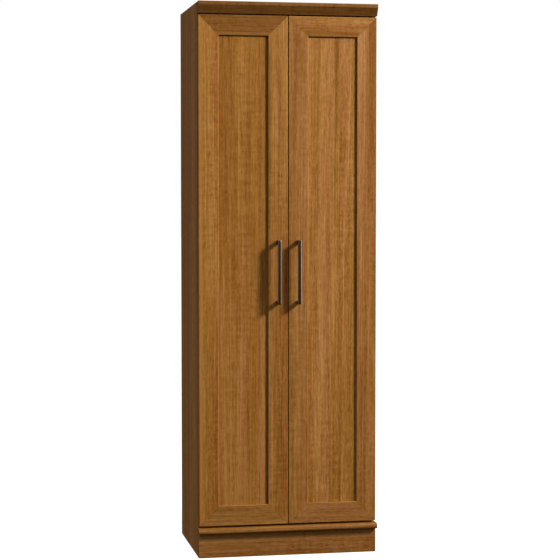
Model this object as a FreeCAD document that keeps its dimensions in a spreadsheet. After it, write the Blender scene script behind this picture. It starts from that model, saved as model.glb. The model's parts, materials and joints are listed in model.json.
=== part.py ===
import FreeCAD, Part
import math
import os
import Sketcher
from types import SimpleNamespace
from FreeCAD import Placement, Rotation, Vector

# Two-door storage cabinet with mitred frame doors, a crown, a base moulding and a plinth.
# Millimetres, +Z up, the doors face -Y, X runs from the left side to the right one.
# The origin is on the floor, in the middle of the whole cabinet with its handles.
# The left half is built and the right half is its mirror image.

doc = FreeCAD.newDocument("storage_cabinet")
sheet = doc.addObject("Spreadsheet::Sheet", "Sizes")

drivingSizes = [
    # Overall
    ("cabinet_width", 592), ("cabinet_height", 1808), ("cabinet_depth", 430),
    # Boards
    ("side_board", 16), ("shelf_board", 16), ("back_board", 3), ("back_margin", 2),
    ("rail_board", 16), ("rail_height", 42),
    # Doors
    ("door_board", 19), ("door_standoff", 2), ("door_reveal", 1), ("door_gap", 3),
    ("door_head_gap", 4.5), ("door_foot_gap", 7), ("frame_width", 65), ("panel_recess", 6.5),
    ("panel_board", 6), ("groove_depth", 9), ("groove_spare", 1), ("inner_arris", 1.6),
    ("outer_arris", 1.2),
    # Crown, base moulding and plinth
    ("crown_height", 38), ("crown_reach", 17), ("crown_foot_reach", 1.5), ("crown_foot_height", 1),
    ("crown_band", 12), ("crown_hollow", 3), ("crown_swell", 3), ("crown_arris", 1.5),
    ("base_height", 18.5), ("base_reach", 16.5), ("base_overhang", 2), ("base_nose", 10.5),
    ("base_heel", 7.5), ("plinth_height", 80), ("plinth_board", 19), ("plinth_arris", 1),
    ("block_width", 30), ("block_depth", 40),
    # Shelves and their pins
    ("shelf_setback", 20), ("fixed_shelf_setback", 3), ("shelf_play", 1),
    ("pin_radius", 2.5), ("pin_depth", 8), ("pin_reach", 9),
    ("pin_pad_width", 8), ("pin_pad_height", 7),
    ("pin_inset", 60), ("pin_pitch", 32), ("pin_play", 0.05),
    # Knock-down fittings
    ("cam_radius", 7.5), ("cam_depth", 12), ("cam_inset", 24), ("cam_row", 50), ("cam_cavity", 5.6),
    ("cam_cross", 7), ("cam_cross_width", 1.4), ("cam_cross_depth", 2),
    ("bolt_radius", 3.2), ("bolt_thread", 2.4), ("bolt_bite", 10),
    ("bolt_head", 4), ("bolt_head_length", 3),
    ("dowel_radius", 4), ("dowel_length", 30), ("dowel_bite", 10), ("dowel_offset", 32),
    ("fitting_play", 0.1),
    ("screw_radius", 2), ("screw_head", 3.8), ("screw_head_depth", 2.4), ("screw_bite", 12),
    ("nail_radius", 0.9), ("nail_head", 2.2), ("nail_head_depth", 0.8), ("nail_length", 16),
    ("nail_inset", 40),
    # Handles
    ("handle_length", 210), ("handle_width", 11.5), ("handle_depth", 11.5), ("handle_reach", 33),
    ("handle_leg", 11.5), ("handle_height", 934), ("handle_offset", 33.5), ("handle_edge", 4),
    ("handle_corner", 2.5), ("handle_screw_bite", 12),
    # Hinges: distances in from the door's edge and ahead of the carcass's front
    ("hinge_end", 100), ("arm_pivot_in", 29.9), ("arm_pivot_ahead", 9), ("cup_pivot_in", 13.4),
    ("cup_pivot_ahead", 3.5), ("cup_edge", 3.5), ("cup_radius", 17.5), ("cup_depth", 12),
    ("cup_wall", 0.9), ("cup_play", 0.1), ("flange_board", 0.8), ("flange_rim", 1.6),
    ("flange_ear", 30), ("flange_width", 16), ("cup_screw_rise", 24), ("cup_screw_in", 9.5),
    ("lug_inside", 7), ("lug_outside", 8.4), ("lug_depth", 5), ("lug_eye", 2.3),
    ("link_half", 6.7), ("link_eye", 2.4), ("pivot_radius", 1.25), ("pivot_play", 0.06),
    ("arm_half", 8.4), ("arm_sheet", 1.4), ("arm_eye", 2.6), ("arm_tail", 62), ("arm_shoulder", 12),
    ("arm_root", 1.5), ("arm_mouth", 5.5),
    ("plate_board", 2.5), ("plate_half", 24), ("plate_width", 18), ("plate_setback", 37),
    ("plate_screw_rise", 16), ("plate_rail", 38), ("plate_rail_half", 6.5),
    ("plate_screw_head", 1.5), ("arm_screw_step", 11), ("arm_screw_bite", 9),
    ("bumper_radius", 4), ("bumper_inset", 15), ("bumper_squeeze", 0.3),
    # One overrun serves every cut
    ("overrun", 5),
]

for row, (alias, value) in enumerate(drivingSizes, start=1):
    sheet.set(f"A{row}", alias.replace("_", " "))
    sheet.set(f"B{row}", str(value))
    sheet.setAlias(f"B{row}", alias)


class Length:
    """A length worked out from the sheet: its value, and the expression that gives it."""

    def __init__(self, value, text):
        self.value = value
        self.text = text

    def __add__(self, other):
        other = asLength(other)
        return Length(self.value + other.value, f"({self.text} + {other.text})")

    def __sub__(self, other):
        other = asLength(other)
        return Length(self.value - other.value, f"({self.text} - {other.text})")

    def __mul__(self, factor):
        return Length(self.value * factor, f"({self.text} * {factor})")

    def __truediv__(self, factor):
        return Length(self.value / factor, f"({self.text} / {factor})")

    def __radd__(self, other):
        return asLength(other) + self

    def __rsub__(self, other):
        return asLength(other) - self

    def __rmul__(self, factor):
        return self * factor

    def __neg__(self):
        return asLength(0) - self


def slope(rise, run):
    """The angle of a line, in degrees."""
    return Length(math.degrees(math.atan2(rise.value, run.value)), f"atan2({rise.text}; {run.text})")


def span(rise, run):
    """The length of a line."""
    return Length(math.hypot(rise.value, run.value), f"hypot({rise.text}; {run.text})")


def asLength(thing):
    return thing if isinstance(thing, Length) else Length(thing, str(thing))


# Points nearer than this count as one
near = 0.01

size = SimpleNamespace(**{alias: Length(value, f"Sizes.{alias}") for alias, value in drivingSizes})
zero = asLength(0)

# Places that follow from the sizes
sideOuter = -size.cabinet_width / 2
sideInner = sideOuter + size.side_board
doorFace = (size.handle_reach - size.cabinet_depth) / 2
doorBack = doorFace + size.door_board
carcassFront = doorBack + size.door_standoff
backFace = doorFace + size.cabinet_depth
carcassBack = backFace - size.back_board
baseTop = size.plinth_height + size.base_height
crownFoot = size.cabinet_height - size.crown_height
doorFoot = baseTop + size.door_foot_gap
doorHead = crownFoot - size.door_head_gap
doorEdge = sideOuter + size.door_reveal
doorMeet = -size.door_gap / 2
underTop = size.cabinet_height - size.shelf_board
railFoot = underTop - size.rail_height
bottomTop = baseTop + size.shelf_board


def bind(thing, **lengths):
    for name, length in lengths.items():
        thing.setExpression(name, asLength(length).text)
    return thing


def put(thing, across, deep, up):
    for axis, length in zip("xyz", (across, deep, up)):
        thing.setExpression(f"Placement.Base.{axis}", asLength(length).text)
    return thing


def block(name, low, high):
    """A box between two corners, each (x, y, z)."""
    box = doc.addObject("Part::Box", name)
    spans = [asLength(b) - asLength(a) for a, b in zip(low, high)]
    bind(box, Length=spans[0], Width=spans[1], Height=spans[2])
    return put(box, *low)


alongAxis = {
    "+x": Rotation(Vector(0, 1, 0), 90),
    "-x": Rotation(Vector(0, 1, 0), -90),
    "+y": Rotation(Vector(1, 0, 0), -90),
    "-y": Rotation(Vector(1, 0, 0), 90),
    "+z": Rotation(),
}


def rod(name, start, direction, radius, length):
    """A cylinder from its start point along a direction such as '+x'."""
    cylinder = doc.addObject("Part::Cylinder", name)
    cylinder.Placement = Placement(Vector(), alongAxis[direction])
    bind(cylinder, Radius=radius, Height=length)
    return put(cylinder, *start)


def join(name, pieces):
    if len(pieces) == 1:
        return pieces[0]
    fuse = doc.addObject("Part::MultiFuse", name)
    fuse.Shapes = pieces
    fuse.Refine = True
    return fuse


def carve(name, base, tools):
    cut = doc.addObject("Part::Cut", name)
    cut.Base = base
    cut.Tool = join(name + "_tools", tools)
    return cut


def mirrored(name, source):
    copy = doc.addObject("Part::Mirroring", name)
    copy.Source = source
    copy.Base = Vector()
    copy.Normal = Vector(1, 0, 0)
    return copy


def group(name, pieces):
    compound = doc.addObject("Part::Compound", name)
    compound.Links = pieces
    return compound


def bothSides(name, pieces):
    """A group of separate solids with its mirror image."""
    left = group(name + "_left", pieces)
    return group(name, [left, mirrored(name + "_right", left)])


def originPlane(body, role):
    return next(feature for feature in body.Origin.OriginFeatures if feature.Role == role)


def towards(here, there):
    """The unit step from one corner to the next along the axis that they share."""
    step = [b.value - a.value for a, b in zip(here, there)]
    return [0 if abs(s) < abs(step[1 - i]) else (s > 0) - (s < 0) for i, s in enumerate(step)]


def outline(body, name, role, corners):
    """A closed sketch of corners (across, up), or (across, up, radius) where a square corner is rounded."""
    sketch = body.newObject("Sketcher::SketchObject", name)
    sketch.AttachmentSupport = (originPlane(body, role), "")
    sketch.MapMode = "FlatFace"
    points = [tuple(asLength(value) for value in corner[:2]) for corner in corners]
    stops = []
    for i, corner in enumerate(corners):
        here = points[i]
        if len(corner) == 2:
            stops.append((here, None))
            continue
        radius = asLength(corner[2])
        backwards = towards(here, points[i - 1])
        onwards = towards(here, points[(i + 1) % len(points)])
        start = tuple(here[k] + radius * backwards[k] for k in range(2))
        end = tuple(here[k] + radius * onwards[k] for k in range(2))
        centre = tuple(here[k] + radius * (backwards[k] + onwards[k]) for k in range(2))
        turn = -backwards[0] * onwards[1] + backwards[1] * onwards[0]
        stops.append((start, (radius, centre, turn)))
        stops.append((end, None))
    kept = []
    for i, (point, arc) in enumerate(stops):
        nextPoint = stops[(i + 1) % len(stops)][0]
        if arc or max(abs(point[k].value - nextPoint[k].value) for k in range(2)) > near:
            kept.append((point, arc, nextPoint))
    ends = []
    for point, arc, nextPoint in kept:
        start, end = (Vector(p[0].value, p[1].value, 0) for p in (point, nextPoint))
        if arc is None:
            ends.append((sketch.addGeometry(Part.LineSegment(start, end)), 1, 2))
            continue
        radius, centre, turn = arc
        middle = Vector(centre[0].value, centre[1].value, 0)
        if turn < 0:
            start, end = end, start
        angles = [Vector(1, 0, 0).getAngle(p - middle) for p in (start, end)]
        angles = [-a if p.y < middle.y else a for a, p in zip(angles, (start, end))]
        circle = Part.Circle(middle, Vector(0, 0, 1), radius.value)
        index = sketch.addGeometry(Part.ArcOfCircle(circle, angles[0], angles[1]))
        ends.append((index, 1, 2) if turn > 0 else (index, 2, 1))
    for i, (index, start, end) in enumerate(ends):
        following = ends[(i + 1) % len(ends)]
        sketch.addConstraint(Sketcher.Constraint("Coincident", index, end, following[0], following[1]))
        for kind, length in zip(("DistanceX", "DistanceY"), kept[i][0]):
            label = f"{kind}_{i}"
            number = sketch.addConstraint(
                Sketcher.Constraint(kind, -1, 1, index, start, length.value))
            sketch.renameConstraint(number, label)
            sketch.setExpression(f"Constraints.{label}", length.text)
        if kept[i][1]:
            radius = kept[i][1][0]
            number = sketch.addConstraint(Sketcher.Constraint("Radius", index, radius.value))
            sketch.renameConstraint(number, f"Radius_{i}")
            sketch.setExpression(f"Constraints.Radius_{i}", radius.text)
    return sketch


def extrusion(name, role, corners, length):
    """A body made by padding an outline drawn on one of its own origin planes."""
    body = doc.addObject("PartDesign::Body", name)
    sketch = outline(body, name + "_outline", role, corners)
    pad = body.newObject("PartDesign::Pad", name + "_pad")
    pad.Profile = sketch
    bind(pad, Length=length)
    sketch.Visibility = False
    return body


def fitted(body, name, kind, test, **lengths):
    """Adds a fillet or chamfer on the edges of the body that the test picks by their bounds."""
    doc.recompute()
    base = body.Tip
    names = [f"Edge{i}" for i, edge in enumerate(base.Shape.Edges, start=1) if test(edge.BoundBox)]
    dressing = body.newObject("PartDesign::" + kind, name)
    dressing.Base = (base, names)
    bind(dressing, **lengths)
    return body


# The sides are one board each, drilled at the end for all that goes into them

sideBase = block("side_base", (sideOuter, carcassFront, 0), (sideInner, carcassBack, size.cabinet_height))
sideHoles = []

# Back panel, nailed to the rear edges of the sides, the top and the bottom

backBase = block("back_base", (sideOuter + size.back_margin, carcassBack, baseTop + size.back_margin),
                 (-sideOuter - size.back_margin, backFace, size.cabinet_height - size.back_margin))
nails = []
nailShafts = []
nailRecesses = []
topNailHoles = []
bottomNailHoles = []


def nail(name, across, up):
    """A nail with its head flush in the back panel. Returns the hole for its shank."""
    shaft = rod(name + "_shank", (across, backFace, up), "-y", size.nail_radius, size.nail_length)
    head = rod(name + "_head", (across, backFace, up), "-y", size.nail_head, size.nail_head_depth)
    nails.append(join(name, [shaft, head]))
    play = size.fitting_play
    hole = rod(name + "_hole", (across, backFace, up), "-y", size.nail_radius + play, size.nail_length)
    nailShafts.append(hole)
    nailRecesses.append(rod(name + "_recess", (across, backFace, up), "-y", size.nail_head + play,
                            size.nail_head_depth))
    return hole


nailRow = sideOuter + size.side_board / 2
nailFoot = baseTop + size.nail_inset
nailHead = size.cabinet_height - size.nail_inset
nailSteps = 6
for i in range(nailSteps + 1):
    share = i / nailSteps
    sideHoles.append(nail(f"side_nail_{i}", nailRow, nailFoot + (nailHead - nailFoot) * share))
edgeNailShares = (0.2, 0.65)
for i, share in enumerate(edgeNailShares):
    across = sideInner * share
    topNailHoles.append(nail(f"top_nail_{i}", across, underTop + size.shelf_board / 2))
    bottomNailHoles.append(nail(f"bottom_nail_{i}", across, baseTop + size.shelf_board / 2))
nailTools = join("nail_tools", nailShafts + nailRecesses)
carve("back_panel", backBase, [nailTools, mirrored("nail_tools_right", nailTools)])
bothSides("back_nails", nails)


# Fixed boards between the sides, held by cam locks and dowels

def insideBoard(name, foot, setback, tools):
    """A fixed board between the sides, bored for its fittings at both ends."""
    board = block(name + "_base", (sideInner, carcassFront + setback, foot),
                  (-sideInner, carcassBack, foot + size.shelf_board))
    left = join(name + "_bores", tools)
    return carve(name, board, [left, mirrored(name + "_bores_right", left)])


camLocks = []
camBolts = []
dowels = []


def dowelJoint(name, deep, up):
    """A dowel from the side into a board's end. Returns the bore in the board."""
    start = (sideInner - size.dowel_bite, deep, up)
    dowels.append(rod(name, start, "+x", size.dowel_radius, size.dowel_length))
    bore = rod(name + "_bore", start, "+x", size.dowel_radius + size.fitting_play, size.dowel_length)
    sideHoles.append(bore)
    return bore


def camJoint(name, deep, foot):
    """A cam lock in the underside of a board, on a bolt screwed into the side. Returns the bores."""
    middle = foot + size.shelf_board / 2
    lockAxis = sideInner + size.cam_inset
    disc = rod(name + "_disc", (lockAxis, deep, foot), "+z", size.cam_radius, size.cam_depth)
    cavity = rod(name + "_cavity", (lockAxis, deep, middle - size.bolt_head - size.fitting_play),
                 "+z", size.cam_cavity, 2 * (size.bolt_head + size.fitting_play))
    way = rod(name + "_way", (lockAxis - size.cam_inset, deep, middle), "+x",
              size.bolt_radius + size.fitting_play, size.cam_inset)
    half = size.cam_cross / 2
    thin = size.cam_cross_width / 2
    cross = [
        block(name + "_slot_a", (lockAxis - half, deep - thin, foot - size.overrun),
              (lockAxis + half, deep + thin, foot + size.cam_cross_depth)),
        block(name + "_slot_b", (lockAxis - thin, deep - half, foot - size.overrun),
              (lockAxis + thin, deep + half, foot + size.cam_cross_depth)),
    ]
    camLocks.append(carve(name + "_lock", disc, [cavity, way] + cross))
    headStart = lockAxis - size.bolt_head_length
    bolt = [
        rod(name + "_thread", (sideInner - size.bolt_bite, deep, middle), "+x",
            size.bolt_thread, size.bolt_bite),
        rod(name + "_shank", (sideInner, deep, middle), "+x", size.bolt_radius,
            size.cam_inset - size.bolt_head_length),
        rod(name + "_head", (headStart, deep, middle), "+x", size.bolt_head, size.bolt_head_length),
    ]
    camBolts.append(join(name + "_bolt", bolt))
    sideHoles.append(rod(name + "_pilot", (sideInner - size.bolt_bite, deep, middle), "+x",
                         size.bolt_thread + size.fitting_play, size.bolt_bite))
    lockBore = rod(name + "_lock_bore", (lockAxis, deep, foot), "+z",
                   size.cam_radius + size.fitting_play, size.cam_depth + size.fitting_play)
    return [lockBore, way]


def endFittings(name, foot):
    """Two cam joints and two dowels for one end of a fixed board."""
    front = carcassFront + size.cam_row
    rear = carcassBack - size.cam_row
    up = foot + size.shelf_board / 2
    bores = camJoint(name + "_front_cam", front, foot) + camJoint(name + "_rear_cam", rear, foot)
    bores.append(dowelJoint(name + "_front_dowel", front + size.dowel_offset, up))
    bores.append(dowelJoint(name + "_rear_dowel", rear - size.dowel_offset, up))
    return bores


shelfCount = 5
fixedShelfIndex = 2
shelfPitch = (underTop - bottomTop - size.shelf_board * shelfCount) / (shelfCount + 1)
shelfFeet = [bottomTop + shelfPitch * (i + 1) + size.shelf_board * i for i in range(shelfCount)]

insideBoard("top_panel", underTop, zero, endFittings("top", underTop) + topNailHoles)
insideBoard("bottom_panel", baseTop, zero, endFittings("bottom", baseTop) + bottomNailHoles)
insideBoard("fixed_shelf", shelfFeet[fixedShelfIndex], size.fixed_shelf_setback,
            endFittings("middle", shelfFeet[fixedShelfIndex]))

# Adjustable shelves on pins, with a spare hole above and below each pin

adjustableFeet = [foot for i, foot in enumerate(shelfFeet) if i != fixedShelfIndex]
shelfPins = []
for number, foot in enumerate(adjustableFeet, start=1):
    play = size.shelf_play
    block(f"adjustable_shelf_{number}", (sideInner + play, carcassFront + size.shelf_setback, foot),
          (-sideInner - play, carcassBack - play, foot + size.shelf_board))
    pinUp = foot - size.pin_pad_height / 2
    rows = (("front", carcassFront + size.shelf_setback + size.pin_inset),
            ("rear", carcassBack - size.pin_inset))
    for rowName, deep in rows:
        name = f"pin_{number}_{rowName}"
        spigot = rod(name + "_spigot", (sideInner - size.pin_depth, deep, pinUp), "+x",
                     size.pin_radius, size.pin_depth + size.pin_reach / 2)
        pad = block(name + "_pad", (sideInner, deep - size.pin_pad_width / 2, foot - size.pin_pad_height),
                    (sideInner + size.pin_reach, deep + size.pin_pad_width / 2, foot))
        shelfPins.append(join(name, [spigot, pad]))
        for step in (-1, 0, 1):
            sideHoles.append(rod(f"{name}_hole_{step + 1}",
                                 (sideInner - size.pin_depth, deep, pinUp + size.pin_pitch * step),
                                 "+x", size.pin_radius + size.pin_play, size.pin_depth))
bothSides("shelf_pins", shelfPins)

# Front rail under the top, which carries the crown

railBack = carcassFront + size.rail_board
railDeep = carcassFront + size.rail_board / 2
railDowelShares = (0.28, 0.72)
railBores = [dowelJoint(f"rail_dowel_{i}", railDeep, railFoot + size.rail_height * share)
             for i, share in enumerate(railDowelShares)]
railBase = block("rail_base", (sideInner, carcassFront, railFoot), (-sideInner, railBack, underTop))
coveFoot = crownFoot + size.crown_foot_height
coveTop = size.cabinet_height - size.crown_band
crownUp = (coveFoot + coveTop) / 2


def boardScrew(name, start, direction, length):
    """A screw whose cylindrical head sits flush in a counterbore, and the hole that takes it."""
    shaft = rod(name + "_shaft", start, direction, size.screw_radius, length)
    head = rod(name + "_head", start, direction, size.screw_head, size.screw_head_depth)
    play = size.fitting_play
    hole = join(name + "_hole", [
        rod(name + "_hole_shaft", start, direction, size.screw_radius + play, length),
        rod(name + "_hole_head", start, direction, size.screw_head + play, size.screw_head_depth)])
    return join(name, [shaft, head]), hole


crownScrewShares = (0.22, 0.8)
crownScrews = []
crownHoles = []
for i, share in enumerate(crownScrewShares):
    screw, hole = boardScrew(f"crown_screw_{i}", (sideInner * share, railBack, crownUp), "-y",
                             size.rail_board + size.screw_bite)
    crownScrews.append(screw)
    crownHoles.append(hole)
bothSides("crown_screws", crownScrews)
crownHoles = join("crown_holes", crownHoles)
crownHolesRight = mirrored("crown_holes_right", crownHoles)
railBores = join("rail_bores", railBores)
carve("front_top_rail", railBase, [railBores, mirrored("rail_bores_right", railBores),
                                   crownHoles, crownHolesRight])

# Crown, base moulding and plinth, each drawn as (depth, height) and padded along X

crownFront = doorFace - size.crown_reach
crownLower = doorFace - size.crown_foot_reach
crownBody = extrusion("crown_body", "YZ_Plane", [
    (carcassFront, crownFoot),
    (crownLower, crownFoot),
    (crownLower, coveFoot),
    (crownFront, coveTop),
    (crownFront, size.cabinet_height, size.crown_arris),
    (carcassFront, size.cabinet_height),
], size.cabinet_width)
put(crownBody, sideOuter, 0, 0)


def lengthwise(deep, high):
    """Picks the edge that runs along X at this depth and height."""
    return lambda box: (abs(box.YMin - deep.value) < near and abs(box.ZMin - high.value) < near
                        and max(box.YLength, box.ZLength) < near)


fitted(crownBody, "crown_hollow", "Fillet", lengthwise(crownLower, coveFoot), Radius=size.crown_hollow)
fitted(crownBody, "crown_swell", "Fillet", lengthwise(crownFront, coveTop), Radius=size.crown_swell)
carve("crown_moulding", crownBody, [crownHoles, crownHolesRight])

baseBody = extrusion("base_body", "YZ_Plane", [
    (carcassFront, size.plinth_height),
    (doorFace - size.base_reach, size.plinth_height, size.base_heel),
    (doorFace - size.base_reach, baseTop, size.base_nose),
    (carcassFront, baseTop),
], size.cabinet_width + 2 * size.base_overhang)
put(baseBody, sideOuter - size.base_overhang, 0, 0)

plinthFace = carcassFront - size.plinth_board
plinthBody = extrusion("plinth_body", "YZ_Plane", [
    (carcassFront, 0),
    (plinthFace, 0, size.plinth_arris),
    (plinthFace, size.plinth_height),
    (carcassFront, size.plinth_height),
], size.cabinet_width)
put(plinthBody, sideOuter, 0, 0)

# Glue blocks behind the plinth, under the bottom board, with their screws

blockBack = carcassFront + size.block_depth
cornerBlock = block("corner_block_base", (sideInner, carcassFront, 0),
                    (sideInner + size.block_width, blockBack, baseTop))
middleBlock = block("middle_block_base", (-size.block_width / 2, carcassFront, 0),
                    (size.block_width / 2, blockBack, baseTop))
blockScrewLength = size.block_depth + size.screw_bite
plinthScrewUp = size.plinth_height / 2
baseScrewUp = size.plinth_height + size.base_height / 2
cornerAcross = sideInner + size.block_width / 2
sideScrewDeepShare = 0.7
sideScrewUpShare = 0.75
sideScrewStart = (sideInner + size.block_width, carcassFront + size.block_depth * sideScrewDeepShare,
                  size.plinth_height * sideScrewUpShare)
cornerScrews = [
    boardScrew("corner_screw_low", (cornerAcross, blockBack, plinthScrewUp), "-y", blockScrewLength),
    boardScrew("corner_screw_high", (cornerAcross, blockBack, baseScrewUp), "-y", blockScrewLength),
    boardScrew("corner_screw_side", sideScrewStart, "-x", size.block_width + size.screw_bite),
]
middleScrews = [
    boardScrew("middle_screw_low", (zero, blockBack, plinthScrewUp), "-y", blockScrewLength),
    boardScrew("middle_screw_high", (zero, blockBack, baseScrewUp), "-y", blockScrewLength),
]
cornerHoles = join("corner_screw_holes", [hole for _, hole in cornerScrews])
middleHoles = join("middle_screw_holes", [hole for _, hole in middleScrews])
cornerHolesRight = mirrored("corner_screw_holes_right", cornerHoles)
sideHoles.append(cornerScrews[2][1])
cornerDrilled = carve("corner_block", cornerBlock, [cornerHoles])
middleDrilled = carve("middle_block", middleBlock, [middleHoles])
group("plinth_blocks", [cornerDrilled, mirrored("corner_block_right", cornerDrilled), middleDrilled])
cornerScrewGroup = group("corner_screws", [screw for screw, _ in cornerScrews])
group("plinth_screws", [cornerScrewGroup, mirrored("corner_screws_right", cornerScrewGroup)]
      + [screw for screw, _ in middleScrews])
carve("base_moulding", baseBody, [cornerHoles, cornerHolesRight, middleHoles])
carve("kick_plate", plinthBody, [cornerHoles, cornerHolesRight, middleHoles])

bothSides("cam_locks", camLocks)
bothSides("cam_bolts", camBolts)
bothSides("dowels", dowels)

# Doors: four mitred members in each frame, with a panel in their grooves

doorWidth = doorMeet - doorEdge
doorHeight = doorHead - doorFoot


def frameMember(name, length):
    """A grooved, mitred member: length along X, width along Y, its front face up."""
    width = size.frame_width
    depth = size.door_board
    grooveTop = depth - size.panel_recess
    grooveFoot = grooveTop - size.panel_board
    body = extrusion(name, "YZ_Plane", [
        (0, 0), (width, 0), (width, grooveFoot), (width - size.groove_depth, grooveFoot),
        (width - size.groove_depth, grooveTop), (width, grooveTop),
        (width, depth, size.inner_arris), (0, depth, size.outer_arris),
    ], length)
    spare = size.overrun
    for end, base, sign in (("start", zero, 1), ("finish", length, -1)):
        corners = [(base - spare * sign, -spare), (base - spare * sign, width + spare),
                   (base + (width + spare) * sign, width + spare)]
        sketch = outline(body, f"{name}_{end}_mitre", "XY_Plane", corners)
        pocket = body.newObject("PartDesign::Pocket", f"{name}_{end}_cut")
        pocket.Profile = sketch
        pocket.Type = "ThroughAll"
        pocket.Reversed = True
        sketch.Visibility = False
    return body


def facing(lengthways, inwards):
    """The turn that lays a member's length and its inner edge along two directions, face to the front."""
    return Rotation(lengthways, inwards, Vector(0, -1, 0), "ZXY")


def layMember(body, rotation, across, up):
    body.Placement = Placement(Vector(), rotation)
    return put(body, across, doorBack, up)


east = Vector(1, 0, 0)
top = Vector(0, 0, 1)
hingeStile = layMember(frameMember("hinge_stile_blank", doorHeight), facing(-top, east),
                       doorEdge, doorHead)
handleStile = layMember(frameMember("handle_stile_blank", doorHeight), facing(top, -east),
                        doorMeet, doorFoot)
layMember(frameMember("left_door_top_rail", doorWidth), facing(-east, -top), doorMeet, doorHead)
layMember(frameMember("left_door_bottom_rail", doorWidth), facing(east, top), doorEdge, doorFoot)

panelIn = size.frame_width - size.groove_depth + size.groove_spare
panelFace = doorFace + size.panel_recess
block("left_door_panel", (doorEdge + panelIn, panelFace, doorFoot + panelIn),
      (doorMeet - panelIn, panelFace + size.panel_board, doorHead - panelIn))

# Handle: a bar with a leg at each end, held by two screws through the stile

handleAcross = -size.handle_offset
handleFront = doorFace - size.handle_reach
barBack = handleFront + size.handle_depth
handleFoot = size.handle_height - size.handle_length / 2
handleHead = size.handle_height + size.handle_length / 2
handleBody = extrusion("handle_body", "YZ_Plane", [
    (doorFace, handleFoot), (handleFront, handleFoot, size.handle_corner),
    (handleFront, handleHead, size.handle_corner), (doorFace, handleHead),
    (doorFace, handleHead - size.handle_leg), (barBack, handleHead - size.handle_leg, size.handle_corner),
    (barBack, handleFoot + size.handle_leg, size.handle_corner), (doorFace, handleFoot + size.handle_leg),
], size.handle_width)
put(handleBody, handleAcross - size.handle_width / 2, 0, 0)
fitted(handleBody, "handle_front_edges", "Fillet",
       lambda box: abs(box.YMin - handleFront.value) < near and box.YLength < near and box.ZLength > near,
       Radius=size.handle_edge)
handleScrews = []
handleHoles = []
for end, screwUp in (("low", handleFoot + size.handle_leg / 2), ("high", handleHead - size.handle_leg / 2)):
    headStart = doorBack + size.screw_head_depth
    length = size.door_board + size.screw_head_depth + size.handle_screw_bite
    shaft = rod(f"handle_{end}_shaft", (handleAcross, headStart, screwUp), "-y", size.screw_radius, length)
    head = rod(f"handle_{end}_head", (handleAcross, headStart, screwUp), "-y",
               size.screw_head, size.screw_head_depth)
    handleScrews.append(join(f"handle_{end}_screw", [shaft, head]))
    handleHoles.append(rod(f"handle_{end}_hole", (handleAcross, doorBack, screwUp), "-y",
                           size.screw_radius + size.fitting_play, size.door_board + size.handle_screw_bite))
handleHoles = join("handle_holes", handleHoles)
carve("left_door_handle", handleBody, [handleHoles])
group("left_door_handle_screws", handleScrews)
carve("left_door_handle_stile", handleStile, [handleHoles])

# Bumpers on the door's back, which meet the bottom board and the front rail

bumperHeights = (("low", (doorFoot + bottomTop) / 2), ("high", (doorHead + railFoot) / 2))
bumpers = [rod(f"bumper_{end}", (doorMeet - size.bumper_inset, doorBack, bumperUp), "+y",
               size.bumper_radius, size.door_standoff - size.bumper_squeeze)
           for end, bumperUp in bumperHeights]
group("left_door_bumpers", bumpers)

# Hinges: a cup in the door, an arm on a plate on the side, and the link that joins them

hingeShares = (0, 0.452, 1)
hingeRun = doorHeight - 2 * size.hinge_end
hingeHeights = [doorFoot + size.hinge_end + hingeRun * share for share in hingeShares]
cupAcross = doorEdge + size.cup_edge + size.cup_radius
cupFloor = doorBack - size.cup_depth
armPivot = (doorEdge + size.arm_pivot_in, carcassFront - size.arm_pivot_ahead)
cupPivot = (doorEdge + size.cup_pivot_in, carcassFront - size.cup_pivot_ahead)
armFace = armPivot[0] + size.arm_eye
hingeParts = {name: [] for name in ("cups", "cup_screws", "cup_pins", "links", "arms", "arm_pins",
                                    "arm_screws", "plates", "plate_screws")}
cupBores = []


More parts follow.
